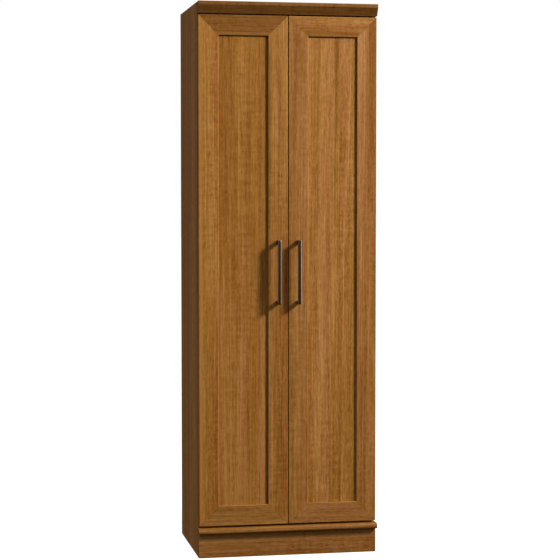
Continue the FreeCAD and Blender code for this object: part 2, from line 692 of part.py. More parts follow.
def hingeCup(name, middle):
    """A pressed cup with its flange, and two lugs inside that hold the link's pin."""
    outer = rod(name + "_shell", (cupAcross, doorBack, middle), "-y", size.cup_radius, size.cup_depth)
    rim = rod(name + "_rim", (cupAcross, doorBack, middle), "+y", size.cup_radius + size.flange_rim,
              size.flange_board)
    ears = block(name + "_ears", (cupAcross, doorBack, middle - size.flange_ear),
                 (cupAcross + size.flange_width, doorBack + size.flange_board, middle + size.flange_ear))
    hollow = rod(name + "_hollow", (cupAcross, doorBack + size.overrun, middle), "-y",
                 size.cup_radius - size.cup_wall, size.cup_depth - size.cup_wall + size.overrun)
    screwAcross = cupAcross + size.cup_screw_in
    screwWays = []
    for tag, sign in (("low", -1), ("high", 1)):
        start = (screwAcross, doorBack + size.flange_board, middle + size.cup_screw_rise * sign)
        way = rod(f"{name}_{tag}_way", start, "-y", size.screw_radius + size.fitting_play,
                  size.flange_board + size.screw_bite)
        screwWays.append(way)
        head = rod(f"{name}_{tag}_head", start, "+y", size.screw_head, size.door_standoff / 2)
        shaft = rod(f"{name}_{tag}_shaft", start, "-y", size.screw_radius,
                    size.flange_board + size.screw_bite)
        hingeParts["cup_screws"].append(join(f"{name}_{tag}_screw", [head, shaft]))
    shell = carve(name + "_open", join(name + "_solid", [outer, rim, ears]), [hollow] + screwWays)
    lugs = []
    for tag, low in (("low", -size.lug_outside), ("high", size.lug_inside)):
        lugs.append(block(f"{name}_{tag}_lug",
                          (cupAcross - size.cup_radius + size.cup_wall, cupPivot[1] - size.lug_depth,
                           middle + low),
                          (cupPivot[0] + size.lug_eye, cupPivot[1] + size.lug_eye,
                           middle + low + size.lug_outside - size.lug_inside)))
    envelope = rod(name + "_envelope", (cupAcross, doorBack + size.flange_board, middle), "-y",
                   size.cup_radius - size.cup_wall / 2, size.cup_depth)
    lugParts = doc.addObject("Part::MultiCommon", name + "_lugs")
    lugParts.Shapes = [join(name + "_lug_pair", lugs), envelope]
    pinWay = rod(name + "_pin_way", (cupPivot[0], cupPivot[1], middle - size.lug_outside - size.overrun),
                 "+z", size.pivot_radius + size.pivot_play, 2 * (size.lug_outside + size.overrun))
    cup = carve(name, join(name + "_lugged", [shell, lugParts]), [pinWay])
    hingeParts["cups"].append(cup)
    hingeParts["cup_pins"].append(rod(name + "_pin", (cupPivot[0], cupPivot[1], middle - size.lug_outside),
                                      "+z", size.pivot_radius, 2 * size.lug_outside))
    cupBores.append(rod(name + "_bore", (cupAcross, doorBack, middle), "-y",
                        size.cup_radius + size.cup_play, size.cup_depth + size.cup_play))
    cupBores.extend(screwWays)


def hingeLink(name, middle):
    """A solid link with a round eye at each pivot, drawn along X and turned to its rest angle."""
    run = armPivot[0] - cupPivot[0]
    rise = armPivot[1] - cupPivot[1]
    reach = span(rise, run)
    eye = size.link_eye
    body = extrusion(name + "_bar", "XY_Plane", [
        (-eye, -eye, eye), (reach + eye, -eye, eye), (reach + eye, eye, eye), (-eye, eye, eye),
    ], 2 * size.link_half)
    angle = slope(rise, run)
    body.Placement = Placement(Vector(), Rotation(Vector(0, 0, 1), angle.value))
    body.setExpression("Placement.Rotation.Angle", angle.text)
    put(body, cupPivot[0], cupPivot[1], middle - size.link_half)
    ways = [rod(f"{name}_{tag}_way", (pivot[0], pivot[1], middle - size.arm_half), "+z",
                size.pivot_radius + size.pivot_play, 2 * size.arm_half)
            for tag, pivot in (("arm", armPivot), ("cup", cupPivot))]
    hingeParts["links"].append(carve(name, body, ways))


def hingeArm(name, middle):
    """A channel that slips over its plate and narrows to two cheeks round the link."""
    eye = size.arm_eye
    root = sideInner + size.plate_board + size.arm_root
    tail = carcassFront + size.arm_tail
    shoulder = carcassFront + size.arm_shoulder
    body = extrusion(name + "_blank", "XY_Plane", [
        (armPivot[0] - eye, armPivot[1] - eye, eye), (armFace, armPivot[1] - eye, eye),
        (armFace, tail), (root, tail), (root, shoulder), (armPivot[0] - eye, shoulder),
    ], 2 * size.arm_half)
    put(body, 0, 0, middle - size.arm_half)
    inside = size.arm_half - size.arm_sheet
    front = armPivot[1] - eye - size.overrun
    webBack = armFace - size.arm_sheet
    channel = block(name + "_channel", (root - size.overrun, front, middle - inside),
                    (webBack, tail + size.overrun, middle + inside))
    mouth = block(name + "_mouth", (root - size.overrun, front, middle - inside),
                  (armFace + size.overrun, armPivot[1] + size.arm_mouth, middle + inside))
    pinWay = rod(name + "_pin_way", (armPivot[0], armPivot[1], middle - size.arm_half - size.overrun), "+z",
                 size.pivot_radius + size.pivot_play, 2 * (size.arm_half + size.overrun))
    pinStart = (armPivot[0], armPivot[1], middle - size.arm_half)
    hingeParts["arm_pins"].append(rod(name + "_pin", pinStart, "+z", size.pivot_radius, 2 * size.arm_half))
    screwHoles = []
    for tag, step in (("front", -size.arm_screw_step), ("rear", size.arm_screw_step)):
        start = (armFace, carcassFront + size.plate_setback + step, middle)
        reach = size.arm_sheet + size.arm_screw_bite
        shaft = rod(f"{name}_{tag}_shaft", start, "-x", size.screw_radius, reach)
        head = rod(f"{name}_{tag}_head", start, "+x", size.screw_head, size.plate_screw_head)
        hingeParts["arm_screws"].append(join(f"{name}_{tag}_screw", [shaft, head]))
        screwHoles.append(rod(f"{name}_{tag}_hole", start, "-x",
                              size.screw_radius + size.fitting_play, reach))
    hingeParts["arms"].append(carve(name, body, [channel, mouth, pinWay] + screwHoles))
    return screwHoles


def hingePlate(name, middle, armHoles):
    """A plate screwed to the side, with the rail that carries the arm."""
    axis = carcassFront + size.plate_setback
    face = sideInner + size.plate_board
    wing = block(name + "_wing", (sideInner, axis - size.plate_width / 2, middle - size.plate_half),
                 (face, axis + size.plate_width / 2, middle + size.plate_half))
    rail = block(name + "_rail", (sideInner, axis - size.plate_rail / 2, middle - size.plate_rail_half),
                 (armFace - size.arm_sheet, axis + size.plate_rail / 2, middle + size.plate_rail_half))
    holes = []
    for tag, sign in (("low", -1), ("high", 1)):
        start = (face, axis, middle + size.plate_screw_rise * sign)
        reach = size.plate_board + size.screw_bite
        shaft = rod(f"{name}_{tag}_shaft", start, "-x", size.screw_radius, reach)
        head = rod(f"{name}_{tag}_head", start, "+x", size.screw_head, size.plate_screw_head)
        hingeParts["plate_screws"].append(join(f"{name}_{tag}_screw", [shaft, head]))
        holes.append(rod(f"{name}_{tag}_hole", start, "-x", size.screw_radius + size.fitting_play, reach))
    sideHoles.extend(holes)
    hingeParts["plates"].append(carve(name, join(name + "_solid", [wing, rail]), holes + armHoles))


for i, middle in enumerate(hingeHeights):
    hingeCup(f"cup_{i}", middle)
    hingeLink(f"link_{i}", middle)
    hingePlate(f"plate_{i}", middle, hingeArm(f"arm_{i}", middle))

bothSides("hinge_arms", hingeParts["arms"])
bothSides("hinge_arm_pins", hingeParts["arm_pins"])
bothSides("hinge_arm_screws", hingeParts["arm_screws"])
bothSides("hinge_plates", hingeParts["plates"])
bothSides("hinge_plate_screws", hingeParts["plate_screws"])
carve("left_door_hinge_stile", hingeStile, cupBores)
group("left_hinge_cups", hingeParts["cups"])
group("left_hinge_cup_screws", hingeParts["cup_screws"])
group("left_hinge_cup_pins", hingeParts["cup_pins"])
group("left_hinge_links", hingeParts["links"])

# Sides, drilled for everything that goes into them

leftSide = carve("left_side_panel", sideBase, sideHoles)
mirrored("right_side_panel", leftSide)

doorNodes = [
    "left_door_hinge_stile", "left_door_handle_stile", "left_door_top_rail", "left_door_bottom_rail",
    "left_door_panel", "left_door_handle", "left_door_handle_screws", "left_door_bumpers",
    "left_hinge_cups", "left_hinge_cup_screws", "left_hinge_cup_pins", "left_hinge_links",
]
for name in doorNodes:
    mirrored(name.replace("left", "right", 1), doc.getObject(name))

# Every sub-part by its node's name

nodes = [
    "left_side_panel", "right_side_panel", "top_panel", "bottom_panel", "fixed_shelf",
    "adjustable_shelf_1", "adjustable_shelf_2", "adjustable_shelf_3", "adjustable_shelf_4",
    "shelf_pins", "back_panel", "back_nails", "front_top_rail", "crown_moulding", "crown_screws",
    "base_moulding", "kick_plate", "plinth_blocks", "plinth_screws", "cam_locks", "cam_bolts", "dowels",
    "hinge_arms", "hinge_arm_pins", "hinge_arm_screws", "hinge_plates", "hinge_plate_screws",
] + doorNodes + [name.replace("left", "right", 1) for name in doorNodes]

doc.recompute()
faults = [thing.Name for thing in doc.Objects if {"Invalid", "Error"} & set(thing.State)]
if faults:
    raise RuntimeError("failed objects: " + ", ".join(faults))

os.makedirs("parts", exist_ok=True)
for name in nodes:
    shape = doc.getObject(name).Shape
    if shape.isNull() or not shape.isValid() or not shape.Solids:
        raise RuntimeError("bad shape: " + name)
    print(f"{name}: {len(shape.Solids)} solids, {shape.Volume:.1f} mm3")
for name in nodes:
    doc.getObject(name).Shape.exportStep(f"parts/{name}.step")
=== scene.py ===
import json
import math

import bmesh
import bpy
from mathutils import Matrix, Vector


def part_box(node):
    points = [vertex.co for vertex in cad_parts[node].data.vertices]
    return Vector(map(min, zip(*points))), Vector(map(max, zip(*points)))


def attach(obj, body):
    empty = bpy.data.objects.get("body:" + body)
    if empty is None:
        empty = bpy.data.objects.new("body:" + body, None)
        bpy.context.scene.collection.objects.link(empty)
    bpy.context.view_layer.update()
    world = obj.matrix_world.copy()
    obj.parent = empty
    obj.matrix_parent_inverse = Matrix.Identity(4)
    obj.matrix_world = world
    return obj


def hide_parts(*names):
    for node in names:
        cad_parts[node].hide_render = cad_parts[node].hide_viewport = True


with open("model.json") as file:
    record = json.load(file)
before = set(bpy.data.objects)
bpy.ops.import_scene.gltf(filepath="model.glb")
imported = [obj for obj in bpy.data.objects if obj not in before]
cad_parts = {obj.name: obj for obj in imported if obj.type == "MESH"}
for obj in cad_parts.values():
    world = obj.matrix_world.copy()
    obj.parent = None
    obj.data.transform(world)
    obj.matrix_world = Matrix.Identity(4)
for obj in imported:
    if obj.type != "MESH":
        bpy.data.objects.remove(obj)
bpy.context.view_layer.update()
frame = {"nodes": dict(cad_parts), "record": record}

mm = 0.001
slotOf = {part["node"]: part["material_slot"] for part in frame["record"]["subparts"]}
bodyOf = {node: body for body, nodes in frame["record"]["behaviour"]["bodies"].items() for node in nodes}
print("frame loaded:", len(frame["nodes"]), "nodes")


# Shader maths

class Signal:  # what a shader node gives out: sums and products of it add Math nodes
    def __init__(self, paint, socket):
        self.paint = paint
        self.socket = socket

    def maths(self, operation, first, second):
        return self.paint.add("Math", {"operation": operation}, {0: first, 1: second})

    def __add__(self, other):
        return self.maths("ADD", self, other)

    def __radd__(self, other):
        return self.maths("ADD", other, self)

    def __sub__(self, other):
        return self.maths("SUBTRACT", self, other)

    def __rsub__(self, other):
        return self.maths("SUBTRACT", other, self)

    def __mul__(self, other):
        return self.maths("MULTIPLY", self, other)

    def __rmul__(self, other):
        return self.maths("MULTIPLY", other, self)

    def __abs__(self):
        return self.maths("ABSOLUTE", self, 0.0)


def least(first, second):
    return first.maths("MINIMUM", first, second)


def most(first, second):
    return first.maths("MAXIMUM", first, second)


noiseMiddle = 0.5  # the value that a noise swings about


class Paint:  # a material or world while it is being made
    def __init__(self, name, block=None):
        self.block = block or bpy.data.materials.new(name)
        self.block.use_nodes = True
        self.tree = self.block.node_tree
        self.tree.nodes.clear()

    def add(self, kind, settings=None, inputs=None, output=0):
        node = self.tree.nodes.new("ShaderNode" + kind)
        for key, value in (settings or {}).items():
            if key == "stops":
                self.setStops(node.color_ramp.elements, value)
            else:
                setattr(node, key, value)
        for key, value in (inputs or {}).items():
            if isinstance(value, Signal):
                self.tree.links.new(value.socket, node.inputs[key])
            else:
                node.inputs[key].default_value = value
        return Signal(self, node.outputs[output])

    def setStops(self, elements, stops):
        for share, colour in stops[1:-1]:
            elements.new(share).color = (*colour, 1)
        for element, (share, colour) in ((elements[0], stops[0]), (elements[-1], stops[-1])):
            element.position = share
            element.color = (*colour, 1)

    def here(self):
        return self.add("TexCoord", output="Object")

    def place(self, turn, shift=(0, 0, 0)):
        return self.add("Mapping", {"vector_type": "POINT"},
                        {"Vector": self.here(), "Rotation": turn, "Location": shift})

    def noise(self, place, scales, detail=2.0, roughness=0.5, output=0):
        stretched = self.add("VectorMath", {"operation": "MULTIPLY"}, {0: place, 1: scales})
        return self.add("TexNoise", {}, {"Vector": stretched, "Scale": 1.0, "Detail": detail,
                                         "Roughness": roughness}, output)

    def shaken(self, place, scales, reach, detail=1.0):
        swirl = self.noise(place, scales, detail, output=1)
        middle = (noiseMiddle, noiseMiddle, noiseMiddle)
        centred = self.add("VectorMath", {"operation": "SUBTRACT"}, {0: swirl, 1: middle})
        return self.add("VectorMath", {"operation": "MULTIPLY_ADD"},
                        {0: centred, 1: (reach, reach, reach), 2: place})

    def between(self, value, low, high, start=0.0, finish=1.0):
        return self.add("MapRange", {"interpolation_type": "SMOOTHSTEP"},
                        {0: value, 1: low, 2: high, 3: start, 4: finish})

    def ramp(self, value, stops):
        return self.add("ValToRGB", {"stops": stops}, {0: value})

    def mixed(self, share, first, second, blend="MIX"):  # sockets 6 and 7 take the colours
        return self.add("Mix", {"data_type": "RGBA", "blend_type": blend},
                        {0: share, 6: self.colour(first), 7: self.colour(second)}, 2)

    def colour(self, value):
        return value if isinstance(value, Signal) else (*value, 1)

    def split(self, vector):
        node = self.add("SeparateXYZ", {}, {0: vector}).socket.node
        return [Signal(self, socket) for socket in node.outputs]

    def join(self, shader, kind="OutputMaterial"):
        out = self.tree.nodes.new("ShaderNode" + kind)
        self.tree.links.new(shader.socket, out.inputs["Surface"])
        return self.block

    def principled(self, bump=None, bumpReach=0.0, **values):
        if bump is not None:
            values["Normal"] = self.add("Bump", {}, {"Height": bump, "Distance": bumpReach,
                                                     "Strength": 1.0})
        inputs = {key.replace("_", " "): value for key, value in values.items()}
        return self.join(self.add("BsdfPrincipled", {}, inputs))


# Wood finish

woodLook = {
    "warm": ((0.0, (0.196, 0.056, 0.003)), (0.25, (0.264, 0.090, 0.010)), (0.5, (0.348, 0.135, 0.028)),
             (0.75, (0.430, 0.184, 0.051)), (1.0, (0.515, 0.238, 0.078))),
    "olive": ((0.0, (0.192, 0.060, 0.003)), (0.25, (0.260, 0.096, 0.008)), (0.5, (0.344, 0.143, 0.023)),
              (0.75, (0.426, 0.194, 0.042)), (1.0, (0.511, 0.251, 0.064))),
    "seedShift": (0.37, 0.61, 1.13),  # how far the figure moves on from one board to the next
    # Each layer of the figure: waves per metre across and along the grain, detail, roughness
    "broad": (9, 0.35, 1, 0.5),
    "bands": (34, 0.6, 2, 0.55),
    "streaks": (165, 3.6, 4, 0.7),
    "fine": (420, 12, 2, 0.6),
    "curl": (24, 88, 2, 0.6),
    "flecks": (230, 60, 3, 0.65),
    "dashes": (240, 36, 1, 0.5),
    "curlPatch": (12, 2.4, 1, 0.5),
    "gleam": (250, 1.7, 1, 0.5),
    "hue": (22, 0.45, 2, 0.5),
    "pores": (1300, 26, 1, 0.5),
    "speck": (70, 9, 3, 0.5),
    "contrast": 1.35,
    "weights": {"broad": 0.60, "bands": 0.66, "streaks": 0.80, "fine": 0.45, "flecks": 0.58, "curl": 0.44},
    # Marks show where their layer is above a level: where they start and are full, and how strong
    "marks": {"gleam": (0.60, 0.72, 0.20), "dashes": (0.62, 0.74, -0.22), "pores": (0.60, 0.74, 0.4)},
    "curlShows": (0.42, 0.62, 0.25, 1.0),  # levels of its patches, and its share outside and in them
    "hueTurns": (0.40, 0.60),
    "sway": {"across": 4.5, "along": 0.9, "reach": 0.010},
    "rings": {"across": 7, "along": 0.42, "detail": 1, "waves": 110.0, "weight": 0.022},
    "pore": (0.110, 0.034, 0.003),
    # lighter edge colour: partly edge wear, partly a painted highlight where the arrises catch the light
    "wearAndHighlight": (0.500, 0.240, 0.070),
    # dark colour of the mitre joints, also used as painted shade under the crown
    "seamAndShade": (0.090, 0.030, 0.005),
    "strip": (0.420, 0.190, 0.018),
    "roughness": {"base": 0.44, "streaks": 0.08, "pores": 0.12},
    "height": {"streaks": 0.5, "fine": 0.4, "pores": 0.8},
    "sheen": 0.21,
    "bump": 0.05 * mm,
}
edgeFinish = {
    # lighter edges, partly wear and partly a painted highlight: how strong, how wide and how uneven
    "wearAndHighlightShare": 0.35,
    "wearAndHighlightReach": (0.4 * mm, 2.0 * mm),
    "wearAndHighlightWobble": 2.2 * mm,
    "stripWobble": 6.0 * mm,
    "mitreShare": 0.4,
    "mitreReach": (0.2 * mm, 1.1 * mm),
    # painted shade along a face: how dark and how wide
    "paintedShadeShare": 0.8,
    "paintedShadeReach": (0.4 * mm, 3.0 * mm),
    "rawReach": (0.25 * mm, 0.4 * mm),
}
chipLook = {
    "flakes": ((380, 380, 900), 3, 0.7),  # waves per metre along X, Y and Z, detail, roughness
    "crumbs": ((1500, 1500, 1500), 2),
    "flakeShare": 0.7,
    "stops": ((0.33, (0.19, 0.11, 0.05)), (0.5, (0.38, 0.25, 0.13)), (0.66, (0.51, 0.37, 0.22))),
    "roughness": 0.85,
}
upright = (0, 0, 0)
acrossGrain = (0, -math.pi / 2, 0)


def nearFace(axes, box, face):
    axis, end = face
    return abs(axes[axis] - box[end][axis])


def edgeDistance(axes, box):  # the second nearest face of the box, so small only along its edges
    gaps = [least(abs(axes[i] - box[0][i]), abs(axes[i] - box[1][i])) for i in range(3)]
    lower = least(gaps[0], gaps[1])
    upper = most(gaps[0], gaps[1])
    return most(lower, least(upper, gaps[2]))


def layer(paint, name, spot):
    across, along, detail, roughness = woodLook[name]
    return paint.noise(spot, (across, across, along), detail, roughness)


def ringWaves(paint, spot, rings):
    swell = paint.noise(spot, (rings["across"], rings["across"], rings["along"]), rings["detail"])
    return paint.add("Math", {"operation": "SINE"}, {0: swell * rings["waves"]}) * rings["weight"]


def mark(paint, name, spot):
    start, full, strength = woodLook["marks"][name]
    return paint.between(layer(paint, name, spot), start, full), strength


def woodGrain(paint, turn, seed, tone=1.0, lift=0.0, calm=1.0):
    look = woodLook
    place = paint.place(turn, [seed * shift for shift in look["seedShift"]])
    sway = look["sway"]
    bent = paint.shaken(place, (sway["across"], sway["across"], sway["along"]), sway["reach"])
    streaks = layer(paint, "streaks", bent)
    fine = layer(paint, "fine", place)
    layers = {
        "broad": layer(paint, "broad", bent),
        "bands": layer(paint, "bands", bent),
        "streaks": streaks,
        "fine": fine,
        "flecks": layer(paint, "flecks", place),
    }
    tint = ringWaves(paint, bent, look["rings"]) + noiseMiddle + lift
    for name, signal in layers.items():
        tint = tint + (signal - noiseMiddle) * (look["weights"][name] * look["contrast"] * calm)
    patch = paint.between(layer(paint, "curlPatch", place), *look["curlShows"])
    curl = patch * (layer(paint, "curl", place) - noiseMiddle)
    tint = tint + curl * (look["weights"]["curl"] * look["contrast"] * calm)
    for name in ("gleam", "dashes"):
        share, strength = mark(paint, name, bent)
        tint = tint + share * strength
    hue = paint.between(layer(paint, "hue", bent), *look["hueTurns"])
    colour = paint.mixed(hue, paint.ramp(tint, look["olive"]), paint.ramp(tint, look["warm"]))
    pores, strength = mark(paint, "pores", place)
    colour = paint.mixed(pores * strength, colour, look["pore"])
    if tone != 1.0:
        shade = tone if isinstance(tone, tuple) else (tone, tone, tone)
        colour = paint.mixed(1.0, colour, shade, "MULTIPLY")
    rough = look["roughness"]
    high = look["height"]
    roughness = rough["base"] + streaks * rough["streaks"] + pores * rough["pores"]
    height = streaks * high["streaks"] + fine * high["fine"] - pores * high["pores"]
    return place, colour, roughness, height


def mitreSeam(paint, axes, side):  # how far a point is from the mitre lines of a door's frame
    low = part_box(side + "_door_hinge_stile")
    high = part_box(side + "_door_handle_stile")
    ends = sorted((low[0].x, low[1].x, high[0].x, high[1].x))
    inX = least(axes[0] - ends[0], ends[3] - axes[0])
    inZ = least(axes[2] - low[0].z, low[1].z - axes[2])
    return abs(inX - inZ)


def chipboard(paint):
    look = chipLook
    flakes = paint.noise(paint.here(), *look["flakes"])
    crumbs = paint.noise(paint.here(), *look["crumbs"])
    return paint.ramp(flakes * look["flakeShare"] + crumbs * (1 - look["flakeShare"]), look["stops"])


def makeWood(name, turn, seed, look):
    edge = edgeFinish
    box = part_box(name)
    paint = Paint(name + "_wood")
    place, colour, roughness, height = woodGrain(paint, turn, seed, look.get("tone", 1.0),
                                                 look.get("lift", 0.0), look.get("calm", 1.0))
    roughness = roughness + look.get("dull", 0.0)
    axes = paint.split(paint.here())
    wobble = layer(paint, "speck", place) - noiseMiddle
    for centre, width, strength in look.get("strips", ()):
        off = abs(axes[0] - (box[0].x + centre * mm) + wobble * edge["stripWobble"])
        colour = paint.mixed(paint.between(off, 0.0, width * mm, strength, 0.0), colour, woodLook["strip"])
    # lighter along every edge of the box: partly wear, partly a painted highlight on the arrises
    wobbledEdgeDistance = edgeDistance(axes, box) + wobble * edge["wearAndHighlightWobble"]
    wearAndHighlight = paint.between(wobbledEdgeDistance, *edge["wearAndHighlightReach"], look.get("wearAndHighlight", edge["wearAndHighlightShare"]), 0.0)
    colour = paint.mixed(wearAndHighlight, colour, woodLook["wearAndHighlight"])
    if "mitre" in look:
        off = mitreSeam(paint, axes, look["mitre"])
        seamAndShade = paint.between(off, *edge["mitreReach"], edge["mitreShare"], 0.0)
        colour = paint.mixed(seamAndShade, colour, woodLook["seamAndShade"])
    for face in look.get("paintedShade", ()):  # painted shade: the piece darkens within a few millimetres of this face, for the shade in the gap there
        near = paint.between(nearFace(axes, box, face), *edge["paintedShadeReach"], edge["paintedShadeShare"], 0.0)
        colour = paint.mixed(near, colour, woodLook["seamAndShade"])
    if "raw" in look:
        chip = chipboard(paint)
        for face in look["raw"]:
            near = paint.between(nearFace(axes, box, face), *edge["rawReach"], 1.0, 0.0)
            colour = paint.mixed(near, colour, chip)
            roughness = most(roughness, near * chipLook["roughness"])
    return paint.principled(height, woodLook["bump"], Base_Color=colour, Roughness=roughness,
                            Specular_IOR_Level=woodLook["sheen"])


west, east, north, under, over = (0, 0), (0, 1), (1, 1), (2, 0), (2, 1)  # each face's axis and end
# the sides get weaker lighter edges (wear and painted highlight)
sideLook = {"raw": (north, over, under), "wearAndHighlight": 0.25}
shelfLook = {"raw": (north,), "lift": 0.02}
uprightPieces = {
    "left_side_panel": sideLook,
    "right_side_panel": sideLook,
    "left_door_hinge_stile": {"mitre": "left", "strips": ((7, 11, 0.68),), "tone": 1.06},
    "left_door_handle_stile": {"mitre": "left", "tone": 0.96},
    "left_door_panel": {"tone": 1.03, "calm": 0.85},
    "right_door_hinge_stile": {"mitre": "right", "tone": 0.92},
    "right_door_handle_stile": {"mitre": "right", "tone": (0.87, 0.87, 0.80)},
    "right_door_panel": {"calm": 1.22},
}
acrossPieces = {
    "top_panel": {"raw": (west, east), "dull": 0.2},
    "bottom_panel": {"raw": (north, west, east)},
    "fixed_shelf": shelfLook,
    "adjustable_shelf_1": shelfLook,
    "adjustable_shelf_2": shelfLook,
    "adjustable_shelf_3": shelfLook,
    "adjustable_shelf_4": shelfLook,
    "front_top_rail": {},
    # the crown's lowest band is darkened: painted shade for the gap over the doors
    "crown_moulding": {"tone": (0.54, 0.53, 0.36), "raw": (north,), "paintedShade": (under,)},
    "base_moulding": {"tone": 0.83, "raw": (north,)},
    "kick_plate": {"tone": 0.82, "raw": (under, over)},
    # the rails' darker tones are painted shade, standing for the weaker sheen of cross-grain wood in the
    # side light
    "left_door_top_rail": {"mitre": "left", "tone": (0.64, 0.595, 0.35)},
    "left_door_bottom_rail": {"mitre": "left", "tone": 0.80},
    "right_door_top_rail": {"mitre": "right", "tone": 0.97},
    "right_door_bottom_rail": {"mitre": "right", "tone": 0.82},
}


def dress(node, material):
    frame["nodes"][node].data.materials.clear()
    frame["nodes"][node].data.materials.append(material)


seed = 1
for turn, pieces in ((upright, uprightPieces), (acrossGrain, acrossPieces)):
    for node, look in pieces.items():
        dress(node, makeWood(node, turn, seed, look))
        seed += 1
print("wood finished")


# Back board: printed wood inside, plain hardboard outside

backLook = {
    "seed": 40,
    "tone": 0.95,
    "fibres": ((420, 420, 420), 3, 0.65),
    "clouds": ((26, 26, 11), 3),
    "fibreShare": 0.8,
    "stops": ((0.38, (0.33, 0.19, 0.085)), (0.5, (0.43, 0.265, 0.13)), (0.62, (0.52, 0.345, 0.18))),
    "printReach": (0.2 * mm, 0.4 * mm),
    "roughness": 0.78,
    "printGloss": 0.36,
    "bump": 0.06 * mm,
}


def makeBackBoard():
    look = backLook
    paint = Paint("back_board")
    printed = woodGrain(paint, upright, look["seed"], look["tone"])[1]
    axes = paint.split(paint.here())
    fibres = paint.noise(paint.here(), *look["fibres"])
    clouds = paint.noise(paint.here(), *look["clouds"])
    fibreboard = paint.ramp(fibres * look["fibreShare"] + clouds * (1 - look["fibreShare"]), look["stops"])
    outer = paint.between(axes[1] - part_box("back_panel")[0].y, *look["printReach"])
    return paint.principled(fibres, look["bump"], Base_Color=paint.mixed(outer, printed, fibreboard),
                            Roughness=look["roughness"] - look["printGloss"] * (1 - outer),
                            Specular_IOR_Level=woodLook["sheen"])


softwoodLook = {
    "sway": (9, 9, 2),
    "swayReach": 0.01,
    "rings": {"across": 26, "along": 1.6, "detail": 1, "waves": 60.0, "weight": 0.16},
    "fibres": ((700, 700, 30), 2),
    "fibreWeight": 0.5,
    "lift": 0.25,
    "stops": ((0.25, (0.42, 0.25, 0.11)), (0.5, (0.60, 0.42, 0.22)), (0.8, (0.70, 0.53, 0.31))),
    "roughness": 0.62,
    "fibreRoughness": 0.15,
    "bump": 0.08 * mm,
}


def makeSoftwood():
    look = softwoodLook
    paint = Paint("bare_softwood")
    bent = paint.shaken(paint.place(acrossGrain), look["sway"], look["swayReach"])
    fibres = paint.noise(bent, *look["fibres"])
    tint = ringWaves(paint, bent, look["rings"]) + fibres * look["fibreWeight"] + look["lift"]
    colour = paint.ramp(tint, look["stops"])
    return paint.principled(fibres, look["bump"], Base_Color=colour,
                            Roughness=look["roughness"] + fibres * look["fibreRoughness"])


dress("back_panel", makeBackBoard())
softwood = makeSoftwood()
dress("plinth_blocks", softwood)
dress("dowels", softwood)
print("back board and blocks finished")


# Metal and plastic finishes

metalLook = {
    "clouds": ((60, 60, 60), 3),
    "brushed": ((1500, 1500, 90), 2),
    "cloudShare": 0.35,
    "darkShare": 0.65,  # how dark the clouds are, as a share of the base colour
    "cloudRoughness": 0.12,
}
metalSlots = {  # base colour, roughness, and the depth of the scratches
    "handle_metal": ((0.290, 0.215, 0.160), 0.19, 0.02 * mm),
    "hinge_steel": ((0.62, 0.61, 0.58), 0.24, 0.02 * mm),
    "screw_steel": ((0.58, 0.57, 0.53), 0.30, 0.02 * mm),
    "cam_zinc": ((0.45, 0.45, 0.45), 0.42, 0.05 * mm),
}
plasticLook = {
    "grain": ((900, 900, 900), 2),
    "clouds": ((120, 120, 120), 2),
    "cloudShare": 0.5,
    "darkShare": 0.75,
    "grainRoughness": 0.1,
    "bump": 0.03 * mm,
}
plasticSlots = {  # base colour and roughness
    "pin_plastic": ((0.12, 0.07, 0.04), 0.40),
    "bumper_plastic": ((0.60, 0.60, 0.57), 0.30),
}


def makeMetal(name, base, roughness, scratch):
    look = metalLook
    paint = Paint(name)
    cloud = paint.noise(paint.here(), *look["clouds"])
    brushed = paint.noise(paint.here(), *look["brushed"])
    dark = [channel * look["darkShare"] for channel in base]
    colour = paint.mixed(cloud * look["cloudShare"], base, dark)
    return paint.principled(brushed, scratch, Base_Color=colour, Metallic=1.0,
                            Roughness=roughness + cloud * look["cloudRoughness"])


def makePlastic(name, base, roughness):
    look = plasticLook
    paint = Paint(name)
    grain = paint.noise(paint.here(), *look["grain"])
    cloud = paint.noise(paint.here(), *look["clouds"])
    dark = [channel * look["darkShare"] for channel in base]
    colour = paint.mixed(cloud * look["cloudShare"], base, dark)
    return paint.principled(grain, look["bump"], Base_Color=colour,
                            Roughness=roughness + grain * look["grainRoughness"])


bySlot = {slot: makeMetal(slot, *finish) for slot, finish in metalSlots.items()}
bySlot.update({slot: makePlastic(slot, *finish) for slot, finish in plasticSlots.items()})
for node, slot in slotOf.items():
    if slot in bySlot:
        dress(node, bySlot[slot])
print("metal and plastic finished")


# Small hardware, modelled anew on the frame's own pieces

meshLook = {"smoothUnder": math.radians(32), "mergeCopy": 0.001 * mm, "mergeLathe": 0.002 * mm}


def newPiece(name, form, node):  # stands for a node and takes its body and slot
    mesh = bpy.data.meshes.new(name)
    bmesh.ops.recalc_face_normals(form, faces=form.faces)
    form.to_mesh(mesh)
    form.free()
    mesh.shade_smooth()
    mesh.set_sharp_from_angle(angle=meshLook["smoothUnder"])
    mesh.materials.append(bySlot[slotOf[node]])
    piece = bpy.data.objects.new(name, mesh)
    bpy.context.scene.collection.objects.link(piece)
    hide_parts(node)
    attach(piece, bodyOf[node])


def copyOf(node):
    form = bmesh.new()
    form.from_mesh(frame["nodes"][node].data)
    bmesh.ops.remove_doubles(form, verts=form.verts, dist=meshLook["mergeCopy"])
    return form


def solidsOf(node):  # the corners of each separate solid of a node
    form = copyOf(node)
    seen = set()
    solids = []
    for start in form.verts:
        if start in seen:
            continue
        seen.add(start)
        queue = [start]
        for vert in queue:
            for edge in vert.link_edges:
                other = edge.other_vert(vert)
                if other not in seen:
                    seen.add(other)
                    queue.append(other)
        solids.append([vert.co.copy() for vert in queue])
    form.free()
    return solids


# Of the head's radius: corners past one share are on the head's rim, within the other on the axis
pegShares = {"rim": 0.95, "axis": 0.2}


